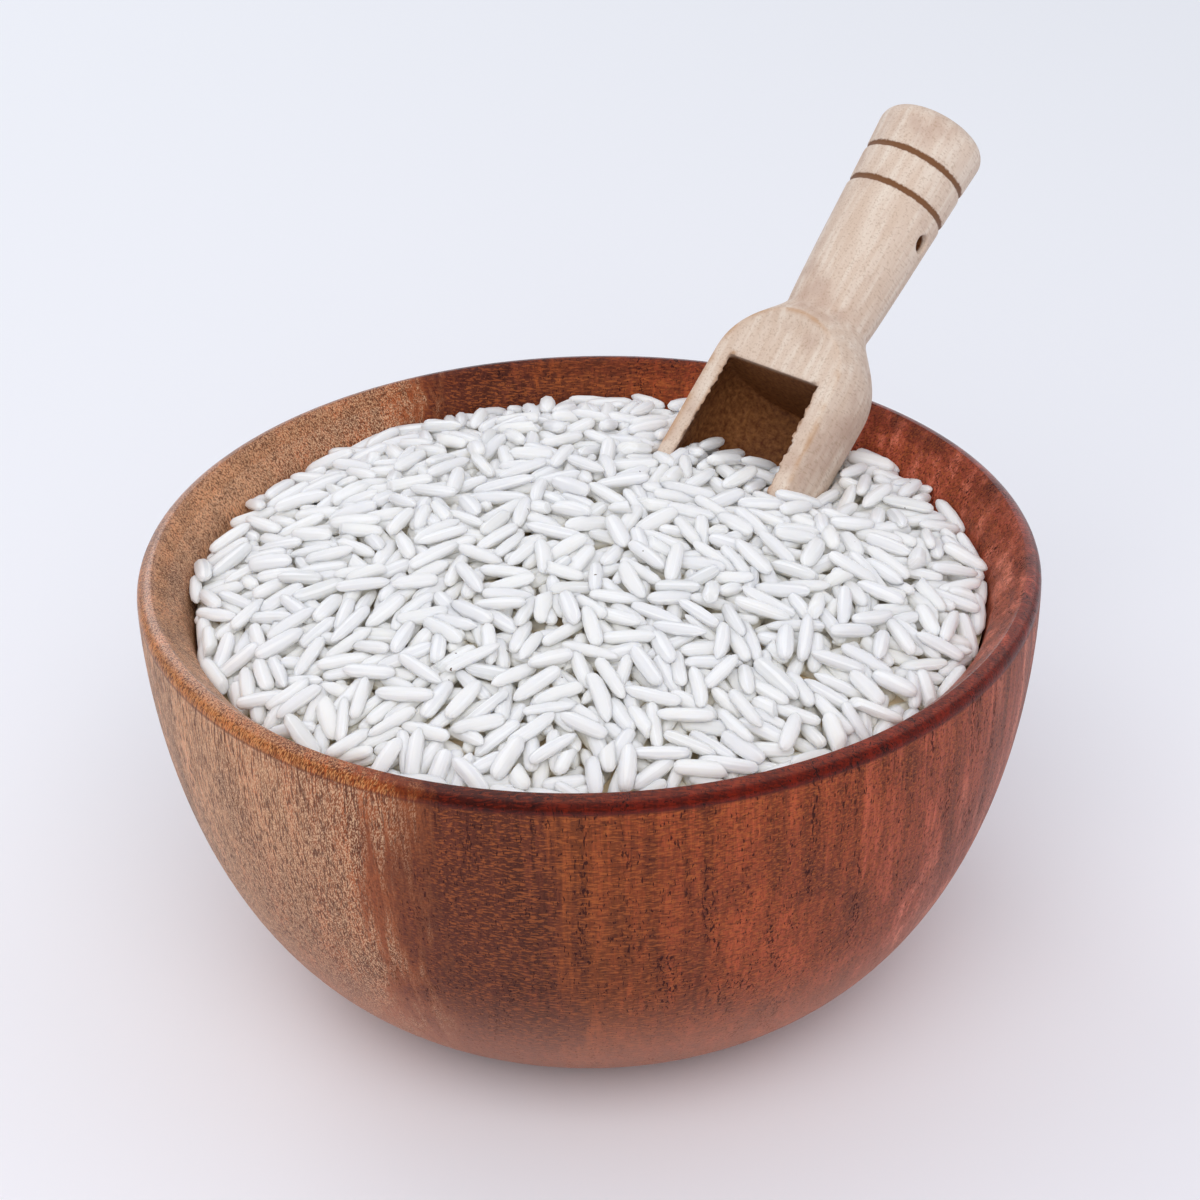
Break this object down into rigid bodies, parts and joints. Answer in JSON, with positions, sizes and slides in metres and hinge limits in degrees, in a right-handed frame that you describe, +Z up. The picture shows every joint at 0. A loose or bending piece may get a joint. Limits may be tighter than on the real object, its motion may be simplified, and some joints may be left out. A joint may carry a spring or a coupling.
{
  "type": "bowl of rice with wooden scoop",
  "caption": "Turned wooden bowl heaped with raw long-grain rice, with a small wooden scoop pushed into the heap.",
  "frame": {"origin": "centre of the bowl's flat foot, on the surface that it stands on", "axes": "+Z up along the bowl's turning axis; the scoop's handle leans up towards +X and +Y"},
  "size_m": [0.115, 0.1192, 0.0963],
  "materials": {
    "bowl_wood": "satin-lacquered red-brown hardwood with vertical grain and dark pores",
    "rice": "raw white long-grain rice, slightly translucent",
    "scoop_wood": "bare pale hardwood, fine sanded"
  },
  "bodies": {
    "root": {"bowl": "bowl_wood", "rice": "rice", "scoop": "scoop_wood"}
  },
  "joints": []
}
